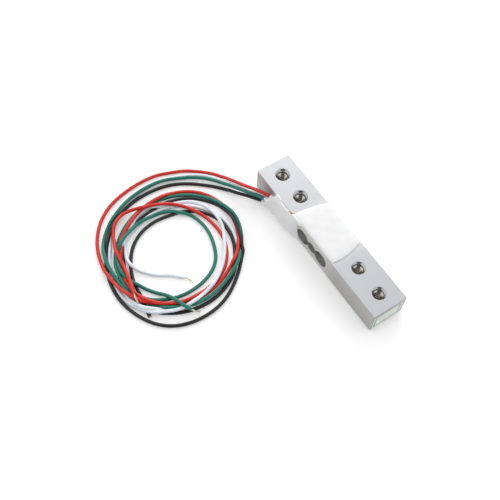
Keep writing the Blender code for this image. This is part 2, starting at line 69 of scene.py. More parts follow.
def srgb(code):
    """Linear colour of a hex code such as #c8c8cc."""
    parts = [int(code[i:i + 2], 16) / 255 for i in (1, 3, 5)]
    return (*[p / 12.92 if p <= 0.04045 else ((p + 0.055) / 1.055) ** 2.4 for p in parts], 1.0)


def add_node(tree, kind, inputs=None, **settings):
    """Adds a node with its own options, and its inputs as values or as the outputs that feed them."""
    node = tree.nodes.new(kind)
    for option, value in settings.items():
        setattr(node, option, value)
    for socket, value in (inputs or {}).items():
        if isinstance(value, bpy.types.NodeSocket):
            tree.links.new(value, node.inputs[socket])
        else:
            node.inputs[socket].default_value = value
    return node


def new_finish(name):
    """An empty material: its node tree and the place in the object, in metres, that its patterns follow."""
    finish = bpy.data.materials.new(name)
    finish.use_nodes = True
    finish.node_tree.nodes.clear()
    place = add_node(finish.node_tree, "ShaderNodeTexCoord").outputs["Object"]
    return finish, finish.node_tree, place


def close_finish(tree, shader):
    """Sends the finished shader to the surface."""
    add_node(tree, "ShaderNodeOutputMaterial", {"Surface": shader.outputs[0]})


def milled_aluminium():
    """Milled aluminium alloy: a pale satin metal with faint lines along the bar, its sides painted a little darker
    and warmer and its hole walls painted dark, both as painted shade.
    """
    finish, tree, place = new_finish("milled_aluminium")
    # Real cutter lines are about ten to the millimetre, drawn as 2.2 so that they show
    along_bar = add_node(
        tree, "ShaderNodeMapping", {"Vector": place, "Scale": (0.06 / MM, 2.2 / MM, 2.2 / MM)}
    )
    lines = add_node(tree, "ShaderNodeTexNoise", {"Vector": along_bar.outputs[0], "Scale": 1.0, "Detail": 3.0})
    # Real grain of about 0.05 mm, drawn at 0.25 mm so that it shows
    grain = add_node(tree, "ShaderNodeTexNoise", {"Vector": place, "Scale": 1 / (0.25 * MM), "Detail": 4.0})
    clouds = add_node(tree, "ShaderNodeTexNoise", {"Vector": place, "Scale": 1 / (6 * MM), "Detail": 2.0})
    tone = add_node(
        tree, "ShaderNodeMix",
        {"Factor": grain.outputs["Fac"], "A": srgb("#acadb0"), "B": srgb("#c6c6c8")},
        data_type="RGBA",
    )
    stain = add_node(
        tree, "ShaderNodeMix",
        {"Factor": clouds.outputs["Fac"], "A": tone.outputs["Result"], "B": srgb("#babbbd")},
        data_type="RGBA",
    )
    # Inside the holes the walls are painted a dark brown, as painted shade, and the countersinks are turned smooth
    apart = add_node(tree, "ShaderNodeSeparateXYZ", {0: place})
    from_middle = add_node(tree, "ShaderNodeMath", {0: apart.outputs[0]}, operation="ABSOLUTE")
    from_pair = add_node(
        tree, "ShaderNodeMath", {0: from_middle.outputs[0], 1: -HOLE_X[0] - HOLE_SPACING / 2},
        operation="SUBTRACT",
    )
    along_pair = add_node(tree, "ShaderNodeMath", {0: from_pair.outputs[0]}, operation="ABSOLUTE")
    from_hole = add_node(
        tree, "ShaderNodeMath", {0: along_pair.outputs[0], 1: HOLE_SPACING / 2}, operation="SUBTRACT"
    )
    to_axis = add_node(tree, "ShaderNodeCombineXYZ", {"X": from_hole.outputs[0], "Y": apart.outputs[1]})
    radius = add_node(tree, "ShaderNodeVectorMath", {0: to_axis.outputs[0]}, operation="LENGTH")
    in_bore = add_node(
        tree, "ShaderNodeMapRange",
        {"Value": radius.outputs["Value"], "From Min": DRILL_RADIUS + BORE_SHADE_EDGE, "From Max": DRILL_RADIUS},
    )
    in_sink = add_node(
        tree, "ShaderNodeMapRange",
        {"Value": radius.outputs["Value"], "From Min": SINK_RADIUS + SINK_EDGE, "From Max": SINK_RADIUS},
    )
    # Painted shade: the hole walls are darkened to brown here
    film = add_node(
        tree, "ShaderNodeMix",
        {"Factor": in_bore.outputs["Result"], "A": stain.outputs["Result"], "B": srgb("#6f6660")},
        data_type="RGBA",
    )
    # The flexure is bored last, and its bores and the metal round them are still bright
    near_flexure = add_node(
        tree, "ShaderNodeMapRange",
        {
            "Value": from_middle.outputs[0], "From Min": FLEXURE_REACH + FLEXURE_FADE,
            "From Max": FLEXURE_REACH, "To Max": 0.35,
        },
    )
    bright = add_node(
        tree, "ShaderNodeMix",
        {"Factor": near_flexure.outputs["Result"], "A": film.outputs["Result"], "B": srgb("#f2f2ef")},
        data_type="RGBA",
    )
    # The top, the underside and the ends are milled, and the sides are painted a little darker and warmer, as
    # painted shade
    facing = add_node(tree, "ShaderNodeNewGeometry")
    facing_parts = add_node(tree, "ShaderNodeSeparateXYZ", {0: facing.outputs["Normal"]})
    sideways = add_node(tree, "ShaderNodeMath", {0: facing_parts.outputs[1]}, operation="ABSOLUTE")
    side_shade = add_node(
        tree, "ShaderNodeMapRange", {"Value": sideways.outputs[0], "From Min": 0.8, "From Max": 0.97}
    )
    metal = add_node(
        tree, "ShaderNodeMix",
        {"Factor": side_shade.outputs["Result"], "A": bright.outputs["Result"], "B": srgb("#fdfbf6")},
        data_type="RGBA", blend_type="MULTIPLY",
    )
    dullness = add_node(
        tree, "ShaderNodeMapRange", {"Value": lines.outputs["Fac"], "To Min": 0.36, "To Max": 0.52}
    )
    gloss = add_node(
        tree, "ShaderNodeMix",
        {"Factor": in_sink.outputs["Result"], "A": dullness.outputs["Result"], "B": 0.16},
    )
    rough_lines = add_node(
        tree, "ShaderNodeBump", {"Height": lines.outputs["Fac"], "Strength": 0.25, "Distance": 0.02 * MM}
    )
    rough_grain = add_node(
        tree, "ShaderNodeBump",
        {"Height": grain.outputs["Fac"], "Strength": 0.3, "Distance": 0.03 * MM, "Normal": rough_lines.outputs[0]},
    )
    close_finish(tree, add_node(
        tree, "ShaderNodeBsdfPrincipled",
        {
            "Base Color": metal.outputs["Result"], "Metallic": 1.0, "Roughness": gloss.outputs["Result"],
            "Normal": rough_grain.outputs[0],
        },
    ))
    return finish


def cut_thread():
    """Aluminium cut by the tap: smooth bright crests that glint between the grooves, whose walls carry painted
    shade.
    """
    finish, tree, place = new_finish("cut_aluminium_thread")
    chatter = add_node(tree, "ShaderNodeTexNoise", {"Vector": place, "Scale": 1 / (0.3 * MM), "Detail": 2.0})
    gloss = add_node(
        tree, "ShaderNodeMapRange", {"Value": chatter.outputs["Fac"], "To Min": 0.14, "To Max": 0.26}
    )
    close_finish(tree, add_node(
        tree, "ShaderNodeBsdfPrincipled",
        {"Base Color": srgb("#c9c5bf"), "Metallic": 1.0, "Roughness": gloss.outputs["Result"]},
    ))
    return finish


def add_piece(name, body, finish, smooth_deg=50):
    """Turns a bmesh into a piece that rides on the load cell."""
    bmesh.ops.recalc_face_normals(body, faces=body.faces)
    mesh = bpy.data.meshes.new(name)
    body.to_mesh(mesh)
    body.free()
    mesh.shade_smooth()
    mesh.set_sharp_from_angle(angle=math.radians(smooth_deg))
    mesh.materials.append(finish)
    piece = bpy.data.objects.new(name, mesh)
    bpy.context.scene.collection.objects.link(piece)
    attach(piece, "root")
    return piece


def thread_body(x):
    """Helical ridge on a hole's wall, its section a blunt triangle with its foot in the metal."""
    body = bmesh.new()
    low = BEAM_LOW.z + THREAD_SET_IN
    turns = (BEAM_HIGH.z - THREAD_SET_IN - low) / THREAD_PITCH
    foot = DRILL_RADIUS + THREAD_FOOT
    crest = DRILL_RADIUS - THREAD_DEPTH
    # Radius and height of the section's corners, the height in shares of the pitch
    section = ((foot, -0.45), (crest, -0.08), (crest, 0.08), (foot, 0.45))
    rings = []
    steps = round(turns * THREAD_STEPS)
    for i in range(steps + 1):
        angle = math.tau * i / THREAD_STEPS
        height = low + THREAD_PITCH * i / THREAD_STEPS
        # The thread starts and ends without a step
        share = min(1.0, i / THREAD_STEPS, (steps - i) / THREAD_STEPS)
        ring = []
        for radius, rise in section:
            reach = foot + (radius - foot) * share
            spot = (x + reach * math.cos(angle), reach * math.sin(angle), height + rise * THREAD_PITCH)
            ring.append(body.verts.new(spot))
        rings.append(ring)
    for ring, after in zip(rings, rings[1:]):
        for k in range(4):
            n = (k + 1) % 4
            body.faces.new((ring[k], ring[n], after[n], after[k]))
    body.faces.new(rings[0])
    body.faces.new(rings[-1][::-1])
    return body


BEAM.material_slots[0].material = milled_aluminium()
bright_cut = cut_thread()
for number, hole_x in enumerate(HOLE_X, 1):
    add_piece("hole_thread_%d" % number, thread_body(hole_x), bright_cut, 30)


# Foil gauges: four meanders of constantan foil on amber polyimide film, glued over the thin sections of the
# flexure, two on each face. They work as one bridge, and the silicone hides them.
def polyimide_film():
    """Polyimide film with etched foil: clear amber and glossy, mottled by the glue under it."""
    finish, tree, place = new_finish("polyimide_film")
    glue = add_node(tree, "ShaderNodeTexNoise", {"Vector": place, "Scale": 1 / (0.8 * MM), "Detail": 3.0})
    tone = add_node(
        tree, "ShaderNodeMix",
        {"Factor": glue.outputs["Fac"], "A": srgb("#9a5b16"), "B": srgb("#c98a3a")},
        data_type="RGBA",
    )
    gloss = add_node(tree, "ShaderNodeMapRange", {"Value": glue.outputs["Fac"], "To Min": 0.18, "To Max": 0.35})
    close_finish(tree, add_node(
        tree, "ShaderNodeBsdfPrincipled",
        {"Base Color": tone.outputs["Result"], "Roughness": gloss.outputs["Result"], "IOR": 1.65},
    ))
    return finish


gauge_film = polyimide_film()
for gauge in ("top_gauge_fixed", "top_gauge_live", "bottom_gauge_fixed", "bottom_gauge_live"):
    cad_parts[gauge].material_slots[0].material = gauge_film


# Terminal board: a small square of glass-epoxy laminate glued to the side, where the jumpers and the leads
# meet on four pads. It lies under the silicone strip.
def glass_epoxy_laminate():
    """Glass-epoxy laminate: green, half matt, with the square weave of its glass cloth."""
    finish, tree, place = new_finish("glass_epoxy_laminate")
    # Real cloth has threads 0.25 mm apart. These bands are drawn coarser: at this scale, one is 1.6 mm wide.
    warp = add_node(tree, "ShaderNodeTexWave", {"Vector": place, "Scale": 0.2 / MM}, bands_direction="X")
    weft = add_node(tree, "ShaderNodeTexWave", {"Vector": place, "Scale": 0.2 / MM}, bands_direction="Z")
    weave = add_node(
        tree, "ShaderNodeMath", {0: warp.outputs["Fac"], 1: weft.outputs["Fac"]}, operation="MULTIPLY"
    )
    tone = add_node(
        tree, "ShaderNodeMix",
        {"Factor": weave.outputs[0], "A": srgb("#2c6b41"), "B": srgb("#4d8f5c")},
        data_type="RGBA",
    )
    close_finish(tree, add_node(
        tree, "ShaderNodeBsdfPrincipled", {"Base Color": tone.outputs["Result"], "Roughness": 0.45}
    ))
    return finish


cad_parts["terminal_board"].material_slots[0].material = glass_epoxy_laminate()


# Solder joints: domes of tin solder, one on each of the board's four pads. Each was melted over the ends of a
# jumper and a lead, and holds both.
def tin_solder():
    """Tin solder: a bright metal that froze with a slightly uneven skin."""
    finish, tree, place = new_finish("tin_solder")
    skin = add_node(tree, "ShaderNodeTexNoise", {"Vector": place, "Scale": 1 / (0.3 * MM), "Detail": 2.0})
    gloss = add_node(tree, "ShaderNodeMapRange", {"Value": skin.outputs["Fac"], "To Min": 0.15, "To Max": 0.4})
    close_finish(tree, add_node(
        tree, "ShaderNodeBsdfPrincipled",
        {"Base Color": srgb("#d3d4d6"), "Metallic": 1.0, "Roughness": gloss.outputs["Result"]},
    ))
    return finish


solder = tin_solder()
for number in range(1, 5):
    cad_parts["solder_joint_%d" % number].material_slots[0].material = solder


# Jumpers: fine copper wires in red enamel, two to each face. They come up from the board round the edge of the
# bar and dive into the silicone over the gauges, so that only a few millimetres show.
def enamelled_copper():
    """Enamelled copper: metal seen through a clear red-brown varnish, so it stays glossy."""
    finish, tree, place = new_finish("enamelled_copper")
    wear = add_node(tree, "ShaderNodeTexNoise", {"Vector": place, "Scale": 1 / (0.6 * MM), "Detail": 2.0})
    tone = add_node(
        tree, "ShaderNodeMix",
        {"Factor": wear.outputs["Fac"], "A": srgb("#a8432c"), "B": srgb("#d8805f")},
        data_type="RGBA",
    )
    close_finish(tree, add_node(
        tree, "ShaderNodeBsdfPrincipled",
        {
            "Base Color": tone.outputs["Result"], "Metallic": 0.6, "Roughness": 0.3, "Coat Weight": 0.8,
            "Coat Roughness": 0.12,
        },
    ))
    return finish


enamel = enamelled_copper()
for jumper in ("top_jumper_1", "top_jumper_2", "bottom_jumper_1", "bottom_jumper_2"):
    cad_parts[jumper].material_slots[0].material = enamel


# Leads: four stranded copper wires in soft PVC, red, white, green and black. They leave the silicone one above
# the other, and are wound nearly three times round into a loose flat coil that lies on the table.
# All sizes in this section are in millimetres.
WIRE = 1.2
WIRE_RADIUS = WIRE / 2
WIRE_STEP = 0.7
COIL_CENTRE = (-28.0, -43.5)
# Where each lead runs before the coil, as in the part's source, except that the last three points of the black
# one are up to half a millimetre aside
LEAD_OUT = {
    "red": [
        (-24.1, -7.3, 6.3), (-25.9, -8.1, 6.2), (-27.6, -8.9, 5.9), (-29.4, -9.7, 5.5), (-31.1, -10.5, 5.0),
        (-32.9, -11.2, 4.4), (-34.7, -11.9, 3.8), (-36.5, -12.5, 3.2), (-38.3, -13.2, 2.6),
        (-40.1, -13.9, 2.0), (-41.8, -14.8, 1.5), (-43.5, -15.7, 1.1), (-45.2, -16.9, 0.8),
        (-46.6, -18.2, 0.6), (-48.0, -19.7, 0.6), (-49.2, -21.3, 0.6), (-50.4, -22.9, 0.6),
        (-51.2, -24.2, 0.6),
    ],
    "white": [
        (-25.3, -7.7, 3.9), (-26.7, -8.5, 3.8), (-28.4, -9.4, 3.6), (-30.1, -10.4, 3.3),
        (-31.9, -11.3, 2.9), (-33.7, -12.2, 2.6), (-35.4, -13.0, 2.2), (-37.2, -13.8, 1.9),
        (-39.0, -14.7, 1.5), (-40.7, -15.6, 1.1), (-42.4, -16.7, 0.9), (-44.0, -17.9, 0.8),
        (-45.5, -19.2, 0.7), (-46.7, -20.6, 0.6),
    ],
    "green": [
        (-25.1, -8.8, 4.7), (-26.2, -9.3, 4.5), (-27.8, -10.2, 4.3), (-29.5, -11.2, 4.0),
        (-31.3, -12.1, 3.7), (-33.0, -13.0, 3.4), (-34.8, -13.9, 3.0), (-36.5, -14.7, 2.6),
        (-38.2, -15.7, 2.2), (-39.9, -16.7, 1.9), (-41.6, -17.8, 1.7), (-43.1, -19.1, 1.6),
        (-44.2, -20.1, 1.5),
    ],
    "black": [
        (-26.0, -9.2, 2.5), (-27.2, -10.0, 2.4), (-28.8, -11.0, 2.2), (-30.5, -12.1, 2.0),
        (-32.1, -13.2, 1.7), (-33.8, -14.3, 1.4), (-35.4, -15.2, 1.1), (-36.9, -16.3, 0.8),
        (-38.3, -17.4, 0.7),
    ],
}
# In the coil, how far each lead is from its centre at every twelfth of a turn, from this angle on
STATION_DEG = 30.0
TURNS = {
    "red": (150, [
        29.0, 26.3, 25.2, 23.7, 22.5, 21.9, 22.0, 22.0, 21.8, 22.8, 23.4, 22.6, 19.8, 17.2, 15.7, 16.1, 17.8,
        20.8, 21.6, 20.9, 20.2, 18.3, 16.1, 15.3, 15.8, 17.2, 20.4, 17.9, 16.8, 20.2,
    ]),
    "white": (150, [
        26.4, 22.6, 21.0, 19.7, 21.3, 24.7, 24.1, 21.6, 19.4, 18.2, 19.0, 18.4, 15.5, 16.0, 14.8, 15.7, 19.0,
        23.5, 23.8, 24.0, 23.2, 22.4, 19.9, 16.6, 14.4, 13.1, 13.0, 14.9, 14.5, 12.5, 11.3,
    ]),
    "green": (150, [
        26.2, 23.3, 21.8, 21.7, 21.0, 21.9, 23.2, 23.4, 23.1, 23.9, 24.1, 21.2, 18.6, 17.0, 16.4, 17.2, 19.2,
        21.2, 20.0, 18.3, 16.8, 14.4, 13.3, 13.0, 12.7, 12.7, 13.9, 16.5, 18.4, 17.8, 18.7,
    ]),
    "black": (90, [
        34.0, 26.6, 23.4, 21.2, 20.7, 20.5, 22.7, 26.2, 29.3, 28.2, 25.2, 23.7, 23.1, 20.1, 16.6, 14.3, 14.3,
        15.4, 16.9, 22.7, 24.9, 24.9, 23.5, 21.2, 18.5, 14.4, 11.1, 10.1, 10.4, 11.8, 14.5, 19.5,
    ]),
}
# Where the insulation of each lead ends
LEAD_END = {"red": (-18.3, -62.2), "white": (-14.8, -45.8), "green": (-3.8, -49.5), "black": (-8.7, -61.8)}
# Which lead lies over which where they cross: a rank at some of the coil's angles, the higher one on top
LAY_ORDER = {
    "red": [
        (90, 5), (240, 6), (255, 9), (305, 9), (325, 6), (354, 4), (385, 5), (400, 8), (412, 8), (428, 3),
        (440, 4), (470, 4), (500, 5), (600, 6), (651, 7), (700, 5), (734, 4), (790, 5), (820, 12), (1024, 12),
    ],
    "white": [
        (90, 4), (126, 4), (138, 8), (158, 8), (172, 3), (250, 3), (275, 4), (310, 9), (460, 9), (490, 6),
        (520, 5), (600, 4), (644, 3), (663, 4), (700, 4), (755, 3), (777, 4), (816, 5), (860, 6), (930, 6),
        (988, 7), (1077, 8),
    ],
    "green": [
        (90, 5), (126, 5), (138, 1), (158, 1), (174, 5), (341, 5), (380, 6), (399, 6.2), (415, 5.2),
        (425, 5.2), (437, 7), (480, 5.5), (600, 5), (631, 6), (653, 5), (740, 5), (849, 7), (904, 8),
        (938, 10), (1004, 10), (1010, 11), (1068, 11),
    ],
    "black": [
        (90, 4), (340, 4), (385, 6), (400, 7.6), (423, 7.4), (437, 5.5), (480, 5), (520, 4), (600, 3),
        (663, 3), (685, 4), (768, 4), (806, 5), (900, 5), (960, 5), (987, 4), (1010, 2), (1037, 2),
    ],
}
# The leads start this far above each other for each rank, and fall by a small step at a time. Along one lead,
# what comes later starts a little higher.
SETTLE_STEPS = 700
FALL_STEP = 0.02
DROP_GAP = 1.2
LATER_HIGHER = 0.0005
# Every so many steps, points closer than this share of a lead's width are listed, to be kept apart. Those next
# to each other on one lead are left out. A point pushed aside creeps back by the last share.
LIST_STEPS = 10
LIST_REACH = 1.5
NEXT_POINTS = 6
PUSH_SHARE = 0.9
CREEP_BACK = 0.8
# The radii are those of a lead at this height. One that settles higher or lower stays on its line of sight
# from the camera's place, so that it still covers the same place in the picture.
RADII_HEIGHT = 1.2
SIGHT_FROM = np.array([80.61, -89.34, 206.11])
EASE_POINTS = 14
SPAN_STEPS = 12
SPOT_DEG = 6.0
JOIN_DEG = 5.0


def bent_span(t, span, start, start_slope, end, end_slope):
    """Value at share t of a span between two values, on the cubic that has the given slopes at its ends."""
    a = (1 + 2 * t) * (1 - t) ** 2
    b = t * (1 - t) ** 2
    c = t * t * (3 - 2 * t)
    d = t * t * (t - 1)
    return a * start + b * span * start_slope + c * end + d * span * end_slope


def smooth_line(points, spacing):
    """Evenly spaced points along a smooth curve through the given ones."""
    knots = np.array(points, dtype=float)
    chord = np.linalg.norm(np.diff(knots, axis=0), axis=1)
    at = np.concatenate(([0.0], np.cumsum(chord)))
    slope = np.gradient(knots, at, axis=0)
    fine = []
    for i, span in enumerate(chord):
        for t in np.linspace(0.0, 1.0, SPAN_STEPS, endpoint=False):
            fine.append(bent_span(t, span, knots[i], slope[i], knots[i + 1], slope[i + 1]))
    fine = np.array(fine + [knots[-1]])
    run = np.concatenate(([0.0], np.cumsum(np.linalg.norm(np.diff(fine, axis=0), axis=1))))
    count = max(2, round(run[-1] / spacing) + 1)
    even = np.linspace(0.0, run[-1], count)
    return np.stack([np.interp(even, run, fine[:, k]) for k in range(fine.shape[1])], axis=1)


def eased(t):
    """Share from 0 to 1 along 0 to 1, crowded towards both ends, for one number or many."""
    return 0.5 - 0.5 * np.cos(math.pi * t)


def lead_line(colour):
    """Centreline of one lead, as x, y, z and 1 where its height is given, and its angles round the coil."""
    points = [(*spot, 1.0) for spot in LEAD_OUT[colour]]
    start, radii = TURNS[colour]
    stations = start + STATION_DEG * np.arange(len(radii))
    slope = np.gradient(radii, stations)
    end_x, end_y = LEAD_END[colour]
    end_angle = math.degrees(math.atan2(end_y - COIL_CENTRE[1], end_x - COIL_CENTRE[0]))
    while end_angle < stations[-1] - STATION_DEG / 2:
        end_angle += 360.0
    enter_angle = math.degrees(math.atan2(points[-1][1] - COIL_CENTRE[1], points[-1][0] - COIL_CENTRE[0]))
    first = max(start, enter_angle + JOIN_DEG)
    for angle in np.arange(first, min(stations[-1], end_angle - SPOT_DEG), SPOT_DEG):
        i = min(int((angle - start) / STATION_DEG), len(radii) - 2)
        t = (angle - stations[i]) / STATION_DEG
        radius = bent_span(t, STATION_DEG, radii[i], slope[i], radii[i + 1], slope[i + 1])
        turn = math.radians(angle)
        points.append((
            COIL_CENTRE[0] + radius * math.cos(turn), COIL_CENTRE[1] + radius * math.sin(turn), WIRE_RADIUS, 0.0
        ))
    points.append((end_x, end_y, WIRE_RADIUS, 0.0))
    line = smooth_line(points, WIRE_STEP)
    angle = np.degrees(np.unwrap(np.arctan2(line[:, 1] - COIL_CENTRE[1], line[:, 0] - COIL_CENTRE[0])))
    return line, angle


def settle_leads():
    """Lets the four leads down on the table and on each other, from above and in the order that they lie."""
    lines = {}
    angles = {}
    for colour in LEAD_OUT:
        lines[colour], angles[colour] = lead_line(colour)
    counts = [len(line) for line in lines.values()]
    owner = np.repeat(np.arange(len(counts)), counts)
    number = np.concatenate([np.arange(count) for count in counts])
    start = np.concatenate(list(lines.values()))
    flat, given, held = start[:, :2], np.maximum(start[:, 2], WIRE_RADIUS), start[:, 3] > 0.5
    last_held = np.array([np.count_nonzero(line[:, 3] > 0.5) - 1 for line in lines.values()])[owner]
    free = eased(np.clip((number - last_held) / EASE_POINTS, 0.0, 1.0))
    seen_at = given + (RADII_HEIGHT - given) * free
    lean = (SIGHT_FROM[:2] - flat) / (SIGHT_FROM[2] - seen_at)[:, None]
    rank = np.concatenate([np.interp(angles[colour], *zip(*LAY_ORDER[colour])) for colour in lines])
    before = np.arange(len(owner)) - (number > 0)
    after = np.arange(len(owner)) + np.append(owner[1:] == owner[:-1], False)
    height = np.where(held, given, WIRE_RADIUS + DROP_GAP * (rank - rank.min() + LATER_HIGHER * number))
    drift = np.zeros_like(flat)
    for step in range(SETTLE_STEPS):
        place = np.column_stack((flat + drift + (height - seen_at)[:, None] * lean, height))
        if step % LIST_STEPS == 0:
            apart = np.linalg.norm(place[:, None, :2] - place[None, :, :2], axis=2)
            rows_apart = np.abs(number[:, None] - number[None, :])
            near = apart < LIST_REACH * WIRE
            near &= (owner[:, None] != owner[None, :]) | (rows_apart > NEXT_POINTS)
            one, other = np.nonzero(np.triu(near))
        gap = place[one] - place[other]
        size = np.maximum(np.linalg.norm(gap, axis=1), 1e-6)
        push = gap * (0.5 * np.maximum(0.0, WIRE - size) / size)[:, None]
        shove = np.zeros_like(place)
        np.add.at(shove, one, push)
        np.add.at(shove, other, -push)
        drift = drift + PUSH_SHARE * shove[:, :2]
        drift = CREEP_BACK * (0.4 * drift + 0.3 * (drift[before] + drift[after]))
        drift[held] = 0.0
        height = height + PUSH_SHARE * shove[:, 2]
        # Once they lie in their order, the leads are stiff enough to bridge the dips between crossings
        for _ in range(2 if step > SETTLE_STEPS / 2 else 1):
            height = 0.5 * height + 0.25 * (height[before] + height[after])
        height = height - FALL_STEP
        height = np.where(held, given, np.maximum(height, WIRE_RADIUS))
    place = np.column_stack((flat + drift + (height - seen_at)[:, None] * lean, height))
    return {colour: place[owner == i] for i, colour in enumerate(lines)}


def soft_pvc(colour_name, base, shade):
    """Soft PVC insulation: evenly coloured and smooth, with a soft gloss and a very shallow ripple."""
    finish, tree, place = new_finish("%s_soft_pvc" % colour_name)
    ripple = add_node(tree, "ShaderNodeTexNoise", {"Vector": place, "Scale": 1 / (1.5 * MM), "Detail": 3.0})
    scuff = add_node(tree, "ShaderNodeTexNoise", {"Vector": place, "Scale": 1 / (0.3 * MM), "Detail": 3.0})
    tone = add_node(
        tree, "ShaderNodeMix",
        {"Factor": ripple.outputs["Fac"], "A": srgb(base), "B": srgb(shade)},
        data_type="RGBA",
    )
    gloss = add_node(tree, "ShaderNodeMapRange", {"Value": scuff.outputs["Fac"], "To Min": 0.28, "To Max": 0.46})
    relief = add_node(
        tree, "ShaderNodeBump", {"Height": scuff.outputs["Fac"], "Strength": 0.15, "Distance": 0.03 * MM}
    )
    close_finish(tree, add_node(
        tree, "ShaderNodeBsdfPrincipled",
        {
            "Base Color": tone.outputs["Result"], "Roughness": gloss.outputs["Result"], "IOR": 1.53,
            "Normal": relief.outputs[0],
        },
    ))
    return finish


INSULATION = {
    "red": soft_pvc("red", "#e02c1a", "#cb2218"),
    "white": soft_pvc("white", "#f5faff", "#ebf2fc"),
    "green": soft_pvc("green", "#007f6b", "#006c5c"),
    "black": soft_pvc("black", "#08080a", "#040405"),
}


def make_wire(colour, line):
    """One lead's insulation: a round curve along its centreline."""
    curve = bpy.data.curves.new(colour + "_wire", "CURVE")
    curve.dimensions = "3D"
    curve.bevel_depth = WIRE_RADIUS * MM
    curve.bevel_resolution = 4
    curve.use_fill_caps = True
    curve.materials.append(INSULATION[colour])
    spline = curve.splines.new("POLY")
    spline.points.add(len(line) - 1)
    for spot, point in zip(spline.points, line):
        spot.co = (*(point * MM), 1.0)
    wire = bpy.data.objects.new(colour + "_wire", curve)
    bpy.context.scene.collection.objects.link(wire)
    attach(wire, "root")
    return wire


lead_lines = settle_leads()
for colour, line in lead_lines.items():
    make_wire(colour, line)
    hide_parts(colour + "_lead", "wire_coil")
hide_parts("white_tail")


# Bare ends: three of the leads are stripped for some 3 mm, and their seven tinned copper strands are twisted
# and bent a little aside. The black one is cut off short. All sizes in this section are in millimetres.
STRAND_RADIUS = 0.09
STRAND_LAY = 4.0
STRAND_SPREAD = 0.15
STRAND_STEPS = 22
BARE_START = 0.6
BARE_TIP = {
    "red": (-14.1, -62.7, 2.4), "white": (-12.6, -44.3, 0.5), "green": (-2.0, -47.5, 0.5),
    "black": (-8.5, -61.85, 0.6),
}


def tinned_copper():
    """Tinned copper strand: pale metal with a warm cast where the copper shows through."""
    finish, tree, place = new_finish("tinned_copper")
    thin_tin = add_node(tree, "ShaderNodeTexNoise", {"Vector": place, "Scale": 1 / (0.5 * MM), "Detail": 2.0})
    tone = add_node(
        tree, "ShaderNodeMix",
        {"Factor": thin_tin.outputs["Fac"], "A": srgb("#f8f2e6"), "B": srgb("#e0d2b8")},
        data_type="RGBA",
    )
    close_finish(tree, add_node(
        tree, "ShaderNodeBsdfPrincipled",
        {"Base Color": tone.outputs["Result"], "Metallic": 1.0, "Roughness": 0.32},
    ))
    return finish


def tube_body(body, line, radii, sides=10):
    """Adds a closed round tube along a line of points, with a radius for each, all in metres."""
    normal = None
    rings = []
    for i, point in enumerate(line):
        point = Vector(point)
        heading = (Vector(line[min(i + 1, len(line) - 1)]) - Vector(line[max(i - 1, 0)])).normalized()
        if normal is None:
            normal = heading.orthogonal().normalized()
        normal = (normal - heading * normal.dot(heading)).normalized()
        side = heading.cross(normal)
        turns = [math.tau * k / sides for k in range(sides)]
        rings.append([
            body.verts.new(point + radii[i] * (math.cos(a) * normal + math.sin(a) * side)) for a in turns
        ])
    for back, front in zip(rings, rings[1:]):
        for k in range(sides):
            n = (k + 1) % sides
            body.faces.new((back[k], back[n], front[n], front[k]))
    body.faces.new(rings[0][::-1])
    body.faces.new(rings[-1])


def strand_body(line, tip):
    """Six strands twisted round a seventh, from inside the insulation and over in a bend to the bare tip."""
    end = Vector(line[-1])
    heading = (end - Vector(line[-4])).normalized()
    tip = Vector(tip)
    corner = end + heading * 0.5 * (tip - end).length
    core = [end - heading * BARE_START]
    for i in range(STRAND_STEPS + 1):
        t = i / STRAND_STEPS
        core.append((1 - t) ** 2 * end + 2 * t * (1 - t) * corner + t * t * tip)
    body = bmesh.new()
    for strand in range(7):
        points = []
        run = 0.0
        for i, point in enumerate(core):
            ahead = (core[min(i + 1, len(core) - 1)] - core[max(i - 1, 0)]).normalized()
            run += (point - core[max(i - 1, 0)]).length
            side = ahead.cross(Vector((0.0, 0.0, 1.0))).normalized()
            up = side.cross(ahead)
            turn = math.tau * (run / STRAND_LAY + strand / 6)
            # The strands spread a little towards the tip
            reach = 0.0 if strand == 6 else 2 * STRAND_RADIUS * (1 + STRAND_SPREAD * (i / len(core)) ** 2)
            points.append((point + (side * math.cos(turn) + up * math.sin(turn)) * reach) * MM)
        radii = [STRAND_RADIUS * MM] * (len(core) - 1) + [STRAND_RADIUS * 0.6 * MM]
        tube_body(body, points, radii, 8)
    return body


tinned = tinned_copper()
for colour, line in lead_lines.items():
    bare = add_piece(colour + "_strands", strand_body(line, BARE_TIP[colour]), tinned)
    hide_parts(colour + "_conductor")


# Roots: still in its insulation, each lead runs on under the silicone strip towards its pad on the terminal
# board. The rubber hides all but about the first millimetre.
ROOT_LENGTH = 3.0 * MM


def way_in(line):
    """Where a lead goes into the silicone, in metres, and its direction inwards."""
    start = Vector(line[0]) * MM
    return start, (start - Vector(line[3]) * MM).normalized()


for colour, line in lead_lines.items():
    start, inward = way_in(line)
    root_body = bmesh.new()
    tube_body(root_body, [start + inward * ROOT_LENGTH * i / 6 for i in range(7)], [WIRE_RADIUS * MM] * 7, 16)
    add_piece(colour + "_root", root_body, INSULATION[colour])


# Silicone: white room-temperature rubber, spread by hand over the gauges of both faces and run down the side,
# where it covers the terminal board and grips the leads. It cures as one skin round the bar's edge.
SKIN_VOXEL = 0.16 * MM
SKIN_SINK = 0.12 * MM
SKIN_UNEVEN = 0.035 * MM
SIDE_FACE = BEAM_LOW.y
BEAM_TOP = BEAM_HIGH.z
# The coat's two edges across the bar, from the strip's side over the middle to the far side
TOP_FAR_X = (-11.3 * MM, -10.7 * MM, -8.9 * MM)
TOP_NEAR_X = (10.2 * MM, 10.4 * MM, 8.8 * MM)
COAT_MARGIN = 0.2 * MM
COAT_LIP = 0.02 * MM
TOP_SKIN = 0.85 * MM
BOTTOM_SKIN = 0.4 * MM
